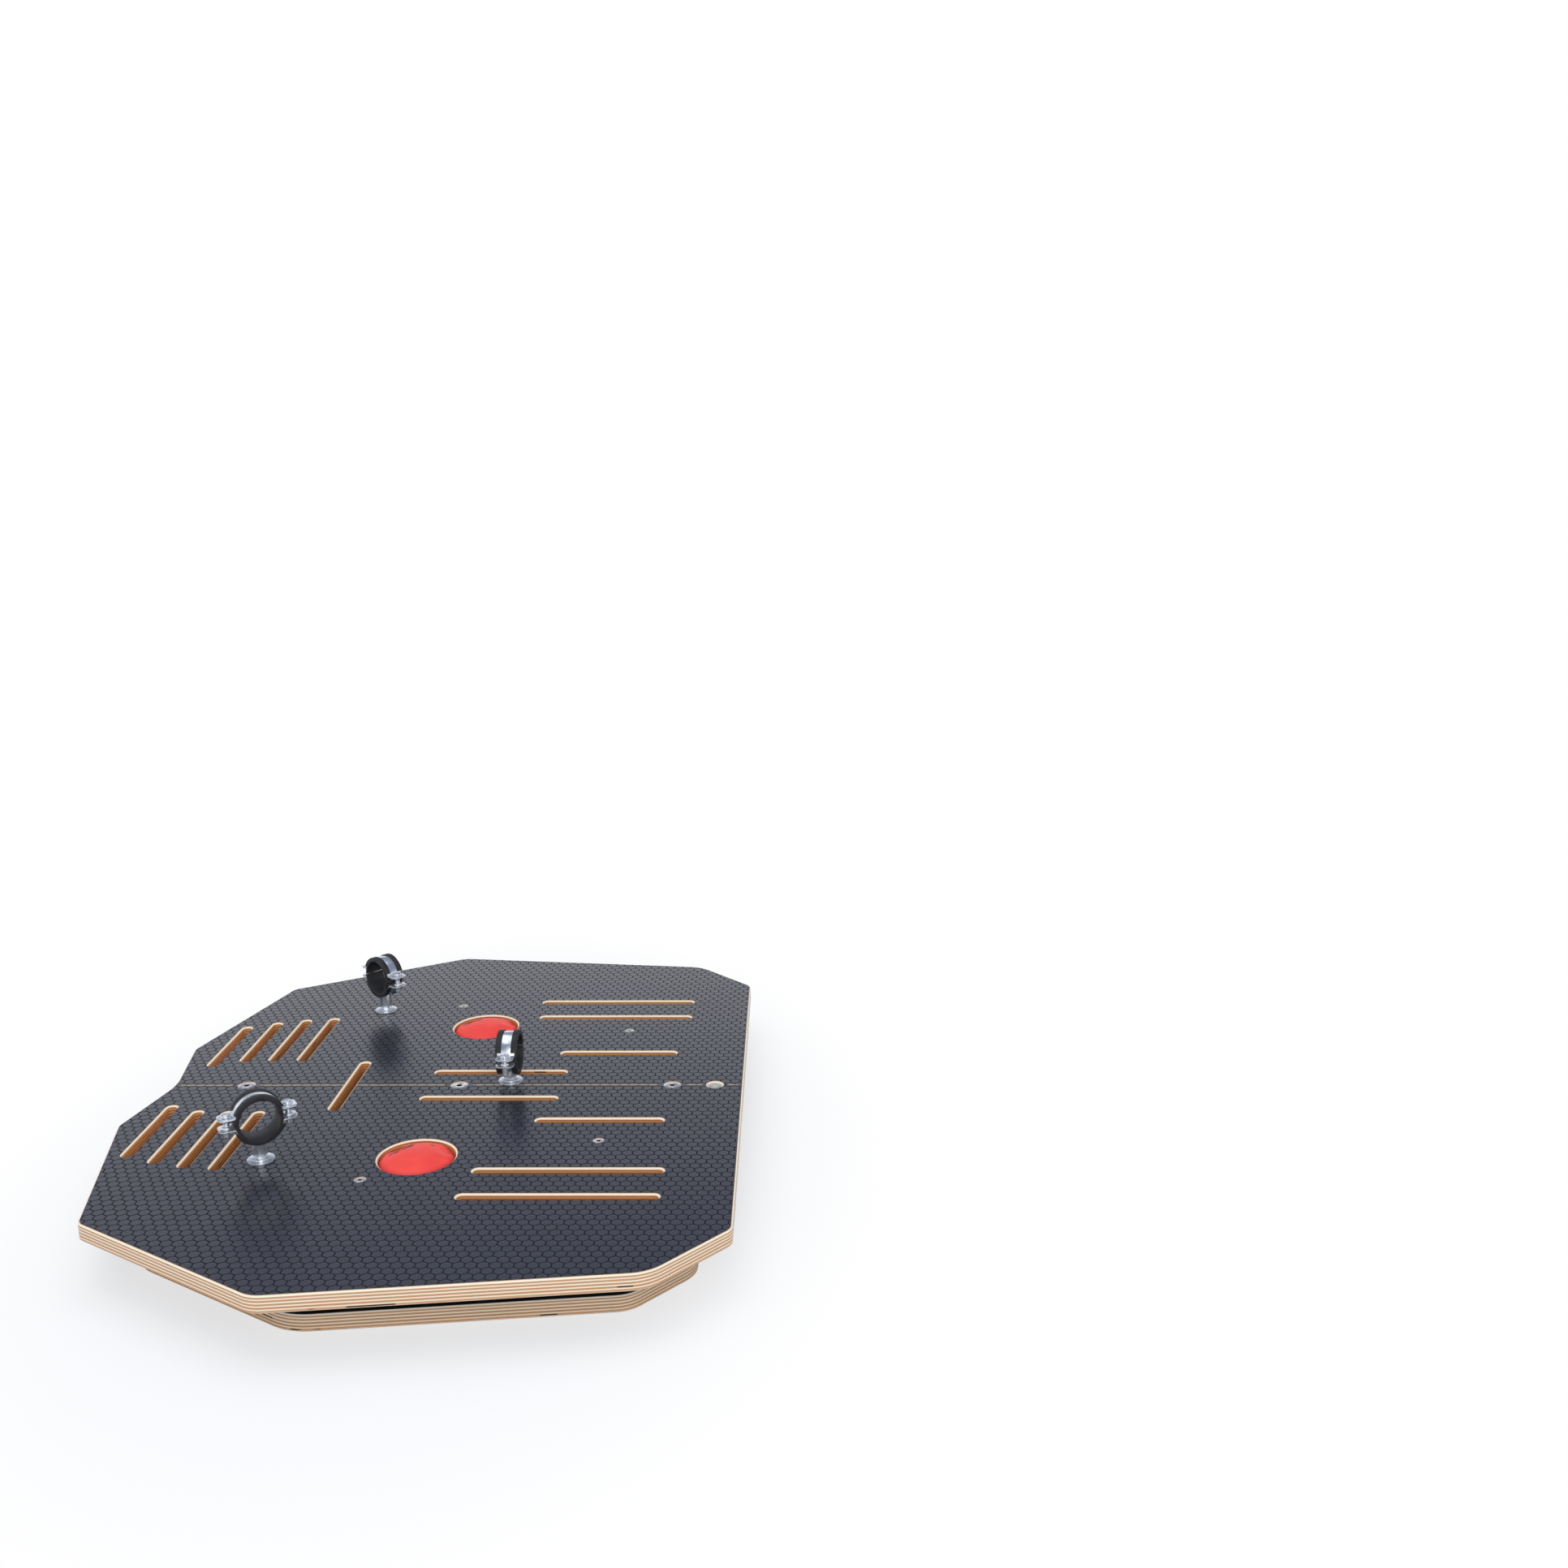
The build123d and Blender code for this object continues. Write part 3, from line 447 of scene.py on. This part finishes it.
def ball_rubber(name, centre):
    """Red ball rubber, with painted shade in the creases at the window's far left edge and towards the window's rim,
    and a painted pink highlight on the crown.
    """
    material, tree, shader, place, color = rubber(
        name, (0.90, 0.030, 0.022, 1), (1.0, 0.060, 0.040, 1), Coat_Weight=0.2, Coat_Roughness=0.3
    )
    local = steer(tree, "SUBTRACT", place, tuple(centre))
    bent = put(tree, "ShaderNodeTexNoise", output=1, Vector=local, Scale=55.0, Detail=2.0)
    shift = steer(tree, "MULTIPLY", steer(tree, "SUBTRACT", bent, (0.5, 0.5, 0.5)), (10 * MM, 10 * MM, 0.0))
    wavy = steer(tree, "ADD", local, shift)
    # Painted shade: dark creases where the ball folds at the window's far left edge, and a dark spot beside them.
    across = steer(tree, "DOT_PRODUCT", wavy, (-0.811, 0.584, 0.0), output=1)
    along = steer(tree, "DOT_PRODUCT", wavy, (0.584, 0.811, 0.0), output=1)
    width = between(tree, along, -14 * MM, 10 * MM, 1.5 * MM, 4.2 * MM)
    line = calc(tree, "SUBTRACT", calc(tree, "ABSOLUTE", calc(tree, "SUBTRACT", across, 25 * MM)), width)
    ends = calc(tree, "MULTIPLY", between(tree, along, -17 * MM, -13 * MM), between(tree, along, 15 * MM, 18 * MM, 1.0, 0.0))
    crease_shade = calc(tree, "MULTIPLY", between(tree, line, -0.6 * MM, 0.6 * MM, 1.0, 0.0), ends)
    spot = steer(tree, "LENGTH", steer(tree, "MULTIPLY", steer(tree, "SUBTRACT", wavy, (12 * MM, 24 * MM, 0.0)), (0.5, 1.0, 0.0)), output=1)
    crease_shade = calc(tree, "MAXIMUM", crease_shade, between(tree, spot, 1.4 * MM, 2.4 * MM, 1.0, 0.0))
    # Painted highlight: a pink spot on the crown.
    pink_highlight = steer(tree, "LENGTH", steer(tree, "MULTIPLY", steer(tree, "SUBTRACT", wavy, (-8 * MM, 27 * MM, 0.0)), (0.7, 1.0, 0.0)), output=1)
    split = tree.nodes.new("ShaderNodeSeparateXYZ")
    feed(tree, split.inputs[0], local)
    crown_only = between(tree, split.outputs[2], 24 * MM, 26 * MM)
    color = tint(tree, calc(tree, "MULTIPLY", between(tree, pink_highlight, 1 * MM, 4.5 * MM, 0.6, 0.0), crown_only), color, (0.75, 0.10, 0.22, 1))
    color = tint(tree, calc(tree, "MULTIPLY", calc(tree, "MULTIPLY", crease_shade, 0.97), crown_only), color, (0.050, 0.004, 0.022, 1))
    # Painted shade: the red darkens towards the window's rim and beyond it, in the gap.
    reach = steer(tree, "LENGTH", steer(tree, "MULTIPLY", local, (1.0, 1.0, 0.0)), output=1)
    color = tint(tree, between(tree, reach, 31 * MM, 40 * MM, 0.0, 0.5), color, (0.42, 0.008, 0.012, 1))
    feed(tree, shader.inputs["Base Color"], color)
    return material


print("rubbers:", black_rubber.name, plug_rubber.name)

# %% [markdown]
# ## Turning a form ring by ring
# Balls, buffers, stops and the level are all round. A lathe would turn them. Here a circle
# is extruded upwards and resized for each ring of the profile, and at the end the rings that
# shrank to the axis are merged into a single point.

# %% Helpers for shapes
def ready(obj):
    """Makes an object the only selected and active one."""
    bpy.ops.object.select_all(action="DESELECT")
    obj.select_set(True)
    bpy.context.view_layer.objects.active = obj


def lathe(name, rings, segments=48, angle=35.0):
    """A turned form round the Z axis from rings of (radius, height), in mm."""
    tiny = 0.01
    rings = [(max(radius, tiny), height) for radius, height in rings]
    bpy.ops.mesh.primitive_circle_add(
        vertices=segments, radius=rings[0][0] * MM, location=(0, 0, 0), enter_editmode=True
    )
    obj = bpy.context.object
    bpy.ops.transform.translate(value=(0, 0, rings[0][1] * MM))
    for (r0, z0), (r1, z1) in zip(rings, rings[1:]):
        bpy.ops.mesh.extrude_region_move(TRANSFORM_OT_translate={"value": (0, 0, (z1 - z0) * MM)})
        bpy.ops.transform.resize(value=(r1 / r0, r1 / r0, 1), center_override=(0, 0, z1 * MM))
    bpy.ops.mesh.select_all(action="SELECT")
    bpy.ops.mesh.remove_doubles(threshold=0.004 * MM)
    bpy.ops.mesh.normals_make_consistent(inside=False)
    bpy.ops.object.mode_set(mode="OBJECT")
    bpy.ops.object.shade_smooth_by_angle(angle=radians(angle))
    obj.name = name
    return obj


def copied(obj, name, matrix):
    """A copy with its own mesh, moved to its place."""
    twin = bpy.data.objects.new(name, obj.data.copy())
    twin.data.transform(matrix)
    bpy.context.scene.collection.objects.link(twin)
    return twin


def joined(name, objects):
    """Several pieces made into one object."""
    bpy.ops.object.select_all(action="DESELECT")
    for obj in objects:
        obj.select_set(True)
    bpy.context.view_layer.objects.active = objects[0]
    if len(objects) > 1:
        bpy.ops.object.join()
    objects[0].name = name
    return objects[0]


def dressed(obj, material, slot, *stands_for, body=None):
    """Gives a piece its finish, and says which CAD nodes it stands for; its slot is not used."""
    obj.data.materials.clear()
    obj.data.materials.append(material)
    if body:
        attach(obj, body)
    if stands_for:
        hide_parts(*stands_for)
    print(obj.name, len(obj.data.polygons), "faces")


def arc(radius, centre, start, end, steps):
    """Points of (radius, height) on a circle in the profile's plane, angles in degrees."""
    angles = [radians(start + (end - start) * step / steps) for step in range(steps + 1)]
    return [(centre[0] + radius * cos(a), centre[1] + radius * sin(a)) for a in angles]


def rounded(node, name, width, slot, material, body, segments=2, angle=30.0):
    """A copy of a CAD node, merged and with its sharp edges rounded, that stands for the node."""
    obj = bpy.data.objects.new(name, nodes[node].data.copy())
    bpy.context.scene.collection.objects.link(obj)
    ready(obj)
    bpy.ops.mesh.customdata_custom_splitnormals_clear()
    bpy.ops.object.mode_set(mode="EDIT")
    bpy.ops.mesh.select_all(action="SELECT")
    bpy.ops.mesh.remove_doubles(threshold=0.002 * MM)
    bpy.ops.mesh.dissolve_limited(angle_limit=radians(0.5))
    bpy.ops.object.mode_set(mode="OBJECT")
    bevel = obj.modifiers.new("edges", "BEVEL")
    bevel.width = width * MM
    bevel.segments = segments
    bevel.limit_method = "ANGLE"
    bevel.angle_limit = radians(angle)
    bevel.harden_normals = False
    bpy.ops.object.modifier_apply(modifier=bevel.name)
    bpy.ops.object.shade_smooth_by_angle(angle=radians(35))
    dressed(obj, material, slot, node, body=body)
    return obj


print("shape helpers ready")

# %% [markdown]
# ## The balls
# Each ball is squeezed between the boards. It bulges into the gap and domes up through the
# round window of the deck and down through the one in the base.
# A few soft dents are pressed into the dome with proportional editing, as a hand would.

# %% Balls
low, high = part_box("ball_near")
bulge = 15.0
dome = (high.x - low.x) / 2 / MM - bulge
deck_top, base_top, deck_bottom = 66.0, 18.0, 48.0
crown, foot_height = deck_top + 4.0, 1.5
upper_rim, lower_rim = deck_top - 3.5, 8.0


def dome_drop(radius, rise):
    """Drop of a shallow dome below its crown at a distance from the axis."""
    sphere = (dome ** 2 + rise ** 2) / (2 * rise)
    return sphere - sqrt(sphere ** 2 - radius ** 2)


foot = [(r, foot_height + dome_drop(r, lower_rim - foot_height)) for r in (5.4, 10, 16, 22, 28, dome - 7)]
top = [(r, crown - dome_drop(r, crown - upper_rim)) for r in (dome - 9, 28, 25, 21, 17, 13, 9, 5, 2.5, 0)]
waist = ((4.8, -13.4), (9.8, -10.4), (13.5, -5.8), (bulge, 0), (13.5, 5.8), (9.8, 10.4), (4.8, 13.4))
ball_rings = (
    [(0, foot_height + 4.3), (5.3, foot_height + 4.3), (5.3, foot_height + 0.3)] + foot
    + [(dome - 3.2, 7.2), (dome - 0.9, 9.6), (dome, 13.0), (dome, base_top + 0.6)]
    + [(dome + out, 33 + up) for out, up in waist] + [(dome, deck_bottom - 0.6), (dome, 57.5)]
    + [(dome - 0.5, 60.0), (dome - 1.5, 62.0), (dome - 3.1, 63.5), (dome - 5.5, 64.8)] + top
)
ball = lathe("ball", ball_rings, segments=96, angle=60.0)
ready(ball)
bpy.ops.object.mode_set(mode="EDIT")
dents = (
    (-27, 23, -2.8, 17), (30, 18, -3.0, 16), (-18, 17, -1.0, 5), (-11, 25, -1.2, 5), (-24, 9, -1.0, 5),
    (12, 24, -0.9, 5), (32, -6, -0.9, 9), (-22, -27, -0.9, 7), (-6, -14, -0.5, 15), (24, -8, -0.5, 12), (8, 6, -0.4, 14),
)
for x, y, push, size in dents:
    bpy.ops.mesh.select_all(action="DESELECT")
    bpy.ops.object.mode_set(mode="OBJECT")
    spot = Vector((x * MM, y * MM, (crown - 3) * MM))
    nearest = min(ball.data.vertices, key=lambda v: (v.co - spot).length)
    nearest.select = True
    bpy.ops.object.mode_set(mode="EDIT")
    bpy.ops.transform.translate(
        value=(0, 0, push * MM), use_proportional_edit=True, proportional_size=size * MM
    )
bpy.ops.object.mode_set(mode="OBJECT")
for side in ("near", "far"):
    place = middle("ball_" + side)
    centre = Vector((place.x, place.y, 33 * MM))
    piece = copied(ball, "rubber_ball_" + side, Matrix.Translation((place.x, place.y, 0)))
    dressed(piece, ball_rubber("red_ball_rubber_" + side, centre), "ball_rubber", "ball_" + side)
    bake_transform(piece)
bpy.data.objects.remove(ball)

# %% Ball plugs
plug = lathe("plug", [(0, 5.5), (4.9, 5.5), (5.0, 5.3), (5.0, 2.2), (4.6, 1.6), (2.0, 1.5), (1.6, 1.9), (0, 2.0)], 32)
spots = [middle("ball_near"), middle("ball_far")]
plugs = [copied(plug, "plug_copy", Matrix.Translation((spot.x, spot.y, 0))) for spot in spots]
dressed(joined("ball_plugs", plugs), plug_rubber, "valve_rubber", "ball_valves", body="base")
bpy.data.objects.remove(plug)

# %% [markdown]
# ## The rubber buffers
# Three waisted rubber buffers carry the deck along its centreline, and let it tilt. They bend
# as the deck tilts. A thin flash line from the mould runs round the waist, and a small lip of
# rubber covers the edge of each steel plate.

# %% Buffers
waist = [(25 - 3 * (1 - ((h - 33) / 12.5) ** 2), h) for h in (22, 24, 26, 28, 30, 32, 32.7)]
waist += [(22.35, 33.0)] + [(r, 66 - h) for r, h in reversed(waist)]
half_rings = [(8.3, 28.3), (8.3, 20.6), (24.2, 20.5), (24.8, 20.7), (25.0, 21.2)]
buffer_rings = [(0, 28.3)] + half_rings + waist + [(r, 66 - h) for r, h in reversed(half_rings)] + [(0, 37.7)]
buffer = lathe("buffer", buffer_rings, segments=64)
for row in ("front", "middle", "rear"):
    node = "buffer_rubber_" + row
    place = middle(node)
    piece = copied(buffer, "buffer_" + row, Matrix.Translation((place.x, 0, 0)))
    dressed(piece, black_rubber, "buffer_rubber", node)
    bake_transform(piece)
bpy.data.objects.remove(buffer)

# %% [markdown]
# ## Rubber stops under the deck
# Four small stops limit the tilt. Each is a moulded cup over a steel insert, with a rounded
# foot that touches the base first.

# %% Stops
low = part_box("stop_rubbers")[0].z / MM
stop_rings = (
    [(0, 42.0), (6.3, 42.0), (6.3, 47.9), (6.6, 48.0), (12.2, 48.0), (12.5, 47.7), (12.5, low + 2.5)]
    + arc(2.5, (10.0, low + 2.5), -15, -75, 4) + [(9.6, low), (4.0, low), (3.4, low + 0.5), (0, low + 0.5)]
)
stop = lathe("stop", stop_rings)
screw_spots = [(190, 168), (190, -145), (-40, 256), (-40, -233)]
stops = [copied(stop, "stop_copy", Matrix.Translation((x * MM, y * MM, 0))) for x, y in screw_spots]
dressed(joined("tilt_stops", stops), black_rubber, "buffer_rubber", "stop_rubbers", body="deck")
bpy.data.objects.remove(stop)

# %% [markdown]
# ## Steel pieces
# The clamps, washers, bolts, plates and screws already have the right shape in CAD, where
# every edge is sharp. Real edges catch a thin line of light. So each is copied, its loose
# triangles are merged, its flat faces are cleaned, and its edges are rounded by a Bevel.

# %% Clamps
for side in ("near", "far", "centre"):
    body = "clamp_" + side
    for part, width in (("upper_half", 0.35), ("lower_half", 0.3)):
        rounded(f"{body}_{part}", f"band_{side}_{part}", width, "zinc_steel", zinc, body)
    for part in ("liner_upper", "liner_lower"):
        rounded(f"{body}_{part}", f"{part}_{side}", 0.4, "liner_rubber", black_rubber, body)

# %% Washers, bolts and plates
rounded("clamp_wide_washers", "wide_washers", 0.3, "zinc_steel", zinc, "deck")
rounded("clamp_small_washers", "small_washers", 0.3, "zinc_steel", zinc, "deck")
rounded("clamp_under_washers", "under_washers", 0.3, "zinc_steel", zinc, "deck")
rounded("clamp_bolts", "hexagon_bolts", 0.3, "zinc_steel", zinc, "deck")
rounded("buffer_upper_plates", "upper_plates", 0.3, "screw_steel", screw_steel, "deck")
rounded("buffer_lower_plates", "lower_plates", 0.3, "screw_steel", screw_steel, "base")
rounded("stop_inserts", "stop_bushes", 0.2, "screw_steel", screw_steel, "deck")
rounded("deck_pivot_screws", "deck_screws", 0.25, "screw_steel", deck_screw_steel, "deck")
rounded("base_pivot_screws", "base_screws", 0.25, "screw_steel", base_screw_steel, "base")
rounded("stop_screws", "small_screws", 0.15, "screw_steel", deck_screw_steel, "deck")

# %% [markdown]
# ## Threads on the clamp screws
# The thread of each ear screw shows between the ears. A real thread is a ridge that climbs
# round the shank, so a small diamond section is swept round the axis with a Screw modifier.

# %% Ear screws
def thread(radius, pitch, bottom, top):
    """A helical ridge round the Z axis."""
    bpy.ops.mesh.primitive_circle_add(vertices=4, radius=0.42 * pitch * MM, location=(0, 0, 0), rotation=(pi / 2, 0, 0))
    obj = bpy.context.object
    bpy.ops.object.transform_apply(rotation=True)
    obj.data.transform(Matrix.Translation((radius * MM, 0, bottom * MM)))
    turn = obj.modifiers.new("thread", "SCREW")
    turn.axis = "Z"
    turn.angle = 2 * pi
    turn.screw_offset = pitch * MM
    turn.iterations = int((top - bottom) / pitch)
    turn.steps = turn.render_steps = 20
    bpy.ops.object.modifier_apply(modifier=turn.name)
    bpy.ops.object.mode_set(mode="EDIT")
    bpy.ops.mesh.select_all(action="SELECT")
    bpy.ops.mesh.fill_holes(sides=4)
    bpy.ops.mesh.normals_make_consistent(inside=False)
    bpy.ops.object.mode_set(mode="OBJECT")
    return obj


head_radius, head_height = 5.0, 3.8
for side in ("near", "far", "centre"):
    node = f"clamp_{side}_ear_screws"
    low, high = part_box(node)
    span = high - low
    pair = Vector((span.x - 2 * head_radius * MM, span.y - 2 * head_radius * MM, 0)) / 2
    if side == "far":
        pair.y = -pair.y
    screws = rounded(node, "ear_screws_" + side, 0.2, "screw_steel", zinc, "clamp_" + side)
    shank_top = high.z / MM - head_height
    ridge = thread(2.72, 1.0, low.z / MM + 0.9, shank_top - 0.3)
    heart = Vector(((low.x + high.x) / 2, (low.y + high.y) / 2, 0))
    ridges = [copied(ridge, "ridge", Matrix.Translation(heart + pair * sign)) for sign in (1, -1)]
    for piece in ridges:
        piece.data.materials.append(zinc)
    joined("ear_screws_" + side, [screws] + ridges)
    bpy.data.objects.remove(ridge)
    print("screws of the", side, "clamp are", round(2 * pair.length / MM, 1), "mm apart")

# %% [markdown]
# ## The round level
# A small round spirit level is let into the deck's centreline. Its cup is cream plastic and
# holds a pale green liquid with a bubble, under a clear lens that is slightly domed.

# %% Level
level_place = middle("level_cup")
shift = Matrix.Translation((level_place.x, 0, 0))
material, tree, shader, place = finish("cream_plastic", Coat_Weight=0.3, Coat_Roughness=0.15)
cloud = use(tree, "uneven_tone", Position=place, Scale=300.0, Detail=2.0, Contrast=1.0)["Value"]
feed(tree, shader.inputs["Base Color"], tint(tree, cloud, (0.80, 0.76, 0.66, 1), (0.90, 0.87, 0.78, 1)))
feed(tree, shader.inputs["Roughness"], between(tree, cloud, 0.2, 0.8, 0.3, 0.4))
cup = lathe("level_cup_turned", [(0, 56.5), (8.6, 56.5), (9.0, 56.9), (9.0, 64.1), (8.7, 64.5), (8.2, 64.5), (8.0, 64.3), (8.0, 57.5), (0, 57.5)], 64)
cup.data.transform(shift)
dressed(cup, material, "level_plastic", "level_cup", body="deck")

material, tree, shader, place = finish("level_liquid", Coat_Weight=0.2)
cloud = use(tree, "uneven_tone", Position=place, Scale=500.0, Detail=1.0, Contrast=0.6)["Value"]
feed(tree, shader.inputs["Base Color"], tint(tree, cloud, (0.62, 0.68, 0.48, 1), (0.74, 0.78, 0.60, 1)))
feed(tree, shader.inputs["Roughness"], between(tree, cloud, 0.2, 0.8, 0.2, 0.3))
bubble = [(3.0 * cos(radians(a)), 63.0 - 3.0 * sin(radians(a))) for a in (0, 22, 45, 67)]
liquid = lathe("level_liquid_body", [(0, 57.5), (7.8, 57.5), (7.8, 63.0)] + bubble + [(0, 60.0)], 48)
liquid.data.transform(shift)
dressed(liquid, material, "level_liquid", "level_fluid", body="deck")

material, tree, shader, place = finish("clear_lens", Transmission_Weight=0.6, IOR=1.45)
haze = use(tree, "uneven_tone", Position=place, Scale=700.0, Detail=2.0, Contrast=0.8)["Value"]
feed(tree, shader.inputs["Base Color"], tint(tree, haze, (0.90, 0.91, 0.87, 1), (0.97, 0.98, 0.95, 1)))
feed(tree, shader.inputs["Roughness"], between(tree, haze, 0.2, 0.8, 0.08, 0.16))
lens = lathe("level_lens_turned", [(0, 63.0), (7.8, 63.0), (7.8, 64.0), (7.4, 64.2), (6.0, 64.35), (4.0, 64.45), (2.0, 64.49), (0, 64.5)], 48)
lens.data.transform(shift)
dressed(lens, material, "level_clear", "level_lens", body="deck")

# %% [markdown]
# ## Floor and light
# The object stands on a plain pale floor under soft studio light: an even sky gives most of
# it, a large soft lamp overhead and one in front give the forms their shape. Away from the
# object the floor turns into plain white for the camera, as a paper backdrop does, so no
# horizon shows. Close to the object two thirds of that white glow is already mixed in, a
# painted light that lightens the object's shadow on the floor. What shiny surfaces see is white
# near the horizon and greyer higher up, as in a room, because metal that mirrors white all
# round looks like chalk.

# %% Floor
bpy.ops.mesh.primitive_plane_add(size=60, location=(0, 0, 0))
floor = bpy.context.object
floor.name = "floor"
material, tree, shader, place = finish("pale_floor", Roughness=0.9, Specular_IOR_Level=0.1)
cloud = use(tree, "uneven_tone", Position=place, Scale=0.8, Detail=1.0, Contrast=0.6)["Value"]
feed(tree, shader.inputs["Base Color"], tint(tree, cloud, (0.84, 0.87, 0.95, 1), (0.88, 0.905, 0.97, 1)))
rays = tree.nodes.new("ShaderNodeLightPath")
# Painted light: the floor glows white for the camera, two thirds next to the object and fully further out.
away = between(tree, steer(tree, "LENGTH", steer(tree, "MULTIPLY", place, (1.5, 1.0, 1.0)), output=1), 0.48, 0.80, 0.66, 1.0)
white = put(tree, "ShaderNodeEmission", Color=(1, 1, 1, 1), Strength=1.0)
paper = tree.nodes.new("ShaderNodeMixShader")
for socket, value in zip(paper.inputs, (calc(tree, "MULTIPLY", away, rays.outputs["Is Camera Ray"]), shader.outputs[0], white)):
    feed(tree, socket, value)
sheet = next(n for n in tree.nodes if n.type == "OUTPUT_MATERIAL")
feed(tree, sheet.inputs["Surface"], paper.outputs[0])
floor.data.materials.append(material)
print("floor:", material.name)

# %% Sky
world = bpy.data.worlds.new("studio")
bpy.context.scene.world = world
world.use_nodes = True
tree = world.node_tree
tree.nodes.clear()
rays = tree.nodes.new("ShaderNodeLightPath")
way = put(tree, "ShaderNodeTexCoord", output=0)
slope = tree.nodes.new("ShaderNodeSeparateXYZ")
feed(tree, slope.inputs[0], way)
higher = between(tree, slope.outputs[2], 0.31, 0.47)
room = tint(tree, higher, (0.97, 0.98, 1.0, 1), (0.10, 0.13, 0.24, 1))
lit = put(tree, "ShaderNodeBackground", Color=(0.93, 0.96, 1.0, 1), Strength=0.66)
mirrored = put(tree, "ShaderNodeBackground", Color=room, Strength=1.0)
shown = put(tree, "ShaderNodeBackground", Color=(1.0, 1.0, 1.0, 1), Strength=1.0)
seen = calc(tree, "MAXIMUM", rays.outputs["Is Camera Ray"], rays.outputs["Is Transmission Ray"])
first = tree.nodes.new("ShaderNodeMixShader")
for socket, value in zip(first.inputs, (rays.outputs["Is Glossy Ray"], lit, mirrored)):
    feed(tree, socket, value)
second = tree.nodes.new("ShaderNodeMixShader")
for socket, value in zip(second.inputs, (seen, first.outputs[0], shown)):
    feed(tree, socket, value)
output = tree.nodes.new("ShaderNodeOutputWorld")
feed(tree, output.inputs["Surface"], second.outputs[0])
print("sky:", world.name)


# %% Lamps
def softbox(name, size, energy, place, aim, color=(1, 1, 1)):
    """A large square lamp that points at a place."""
    data = bpy.data.lights.new(name, "AREA")
    data.size = size
    data.energy = energy
    data.color = color
    lamp = bpy.data.objects.new(name, data)
    lamp.location = place
    lamp.rotation_euler = (Vector(aim) - Vector(place)).to_track_quat("-Z", "Y").to_euler()
    bpy.context.scene.collection.objects.link(lamp)
    return lamp


softbox("overhead", 2.4, 24.0, (-0.6, 0.3, 2.6), (0, 0, 0))
softbox("front", 1.6, 20.0, (0.7, -2.6, 1.4), (0, 0, 0.05))
bpy.context.scene.view_settings.view_transform = "Standard"

# %% Nothing selected at the end
bpy.ops.object.select_all(action="DESELECT")
